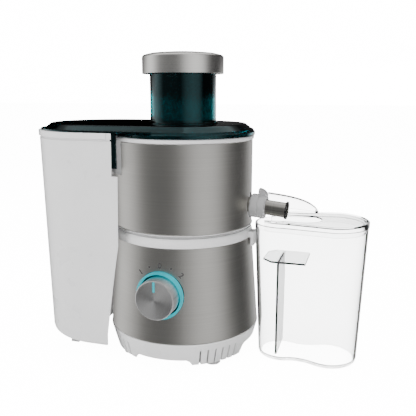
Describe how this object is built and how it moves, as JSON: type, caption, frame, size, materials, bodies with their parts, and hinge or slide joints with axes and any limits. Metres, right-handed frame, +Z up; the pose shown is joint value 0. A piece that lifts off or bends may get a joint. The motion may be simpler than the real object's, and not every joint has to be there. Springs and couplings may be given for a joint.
{
  "type": "centrifugal juicer",
  "caption": "Countertop centrifugal juicer: steel motor base with lit dial, smoked lid with feed tube and pusher, pulp bin on one side, spout and clear lidded jug on the other.",
  "frame": {"origin": "on the table under the middle of the bounding box; the motor shaft stands 17.55 mm towards -X from it", "axes": "+X towards the juice jug, -X towards the pulp bin, -Y the front with the control knob, +Z up"},
  "size_m": [0.3596, 0.188, 0.32],
  "materials": {
    "white_plastic": "satin moulded white",
    "grey_plastic": "fine matt grey",
    "brushed_steel": "brushed",
    "black_rubber": "matt",
    "grey_rubber": "matt light grey",
    "black_plastic": "satin black",
    "motor_steel": "laminated steel",
    "copper": "enamelled copper wire",
    "carbon": "pressed carbon",
    "circuit_board": "green board",
    "led_plastic": "light guide, lit cyan",
    "spun_aluminium": "circular spun",
    "smoked_plastic": "smoked transparent plastic, polished",
    "clear_plastic": "clear transparent plastic, polished"
  },
  "bodies": {
    "motor_base": {"bearing_bridge": "motor_steel", "stator_core": "motor_steel", "base_screw_1": "brushed_steel", "base_screw_2": "brushed_steel", "base_screw_3": "brushed_steel", "base_screw_4": "brushed_steel", "bearing_lower": "brushed_steel", "bearing_upper": "brushed_steel", "collector_sleeve": "brushed_steel", "lower_shell": "brushed_steel", "spout_tube": "brushed_steel", "base_skirt": "white_plastic", "collector_bowl": "white_plastic", "motor_deck": "white_plastic", "bottom_plate": "grey_plastic", "motor_carrier": "grey_plastic", "brush_holder_1": "black_plastic", "brush_holder_2": "black_plastic", "dial_plate": "black_plastic", "interlock_switch": "black_plastic", "rotary_switch": "black_plastic", "carbon_brush_1": "carbon", "carbon_brush_2": "carbon", "field_coil_1": "copper", "field_coil_2": "copper", "control_board": "circuit_board", "cord_gland": "black_rubber", "motor_bush_1": "black_rubber", "motor_bush_2": "black_rubber", "motor_bush_3": "black_rubber", "motor_bush_4": "black_rubber", "shaft_seal": "black_rubber", "spout_seal": "black_rubber", "led_ring": "led_plastic", "rubber_foot_1": "grey_rubber", "rubber_foot_2": "grey_rubber", "rubber_foot_3": "grey_rubber", "rubber_foot_4": "grey_rubber"},
    "rotor": {"motor_shaft": "brushed_steel", "cooling_fan": "grey_plastic", "armature_core": "motor_steel", "commutator": "copper", "drive_coupling": "black_plastic", "basket_base": "white_plastic", "filter_cone": "brushed_steel", "basket_rim": "white_plastic", "grater_disc": "brushed_steel"},
    "lid": {"lid_cover": "smoked_plastic"},
    "pusher": {"pusher_body": "black_plastic", "pusher_cap": "brushed_steel"},
    "knob": {"knob_body": "spun_aluminium", "knob_pointer": "led_plastic", "knob_stem": "black_plastic"},
    "spout_valve": {"valve_collar": "grey_plastic", "nozzle_hood": "clear_plastic"},
    "bin": {"pulp_bin": "white_plastic"},
    "jug": {"juice_jug": "clear_plastic", "foam_separator": "clear_plastic"},
    "jug_cover": {"jug_lid": "clear_plastic"}
  },
  "joints": [
    {"name": "basket_spin", "type": "hinge", "parent": "motor_base", "child": "rotor", "pos_m": [-0.01755, 0, 0.1], "axis": [0, 0, 1], "continuous": true},
    {"name": "lid_lift", "type": "slide", "parent": "motor_base", "child": "lid", "axis": [0, 0, 1], "range_m": [0, 0.1]},
    {"name": "pusher_slide", "type": "slide", "parent": "lid", "child": "pusher", "axis": [0, 0, 1], "range_m": [0, 0.125]},
    {"name": "knob_turn", "type": "hinge", "parent": "motor_base", "child": "knob", "pos_m": [-0.01755, -0.08, 0.08], "axis": [0, -1, 0], "range_deg": [-45, 45]},
    {"name": "spout_turn", "type": "hinge", "parent": "motor_base", "child": "spout_valve", "pos_m": [0.05545, 0, 0.1622], "axis": [0.9945, 0, -0.1045], "range_deg": [0, 90]},
    {"name": "bin_slide", "type": "slide", "parent": "motor_base", "child": "bin", "axis": [-1, 0, 0], "range_m": [0, 0.16]},
    {"name": "jug_slide", "type": "slide", "parent": "motor_base", "child": "jug", "axis": [1, 0, 0], "range_m": [0, 0.13]},
    {"name": "jug_lid_lift", "type": "slide", "parent": "jug", "child": "jug_cover", "axis": [0, 0, 1], "range_m": [0, 0.05]}
  ]
}
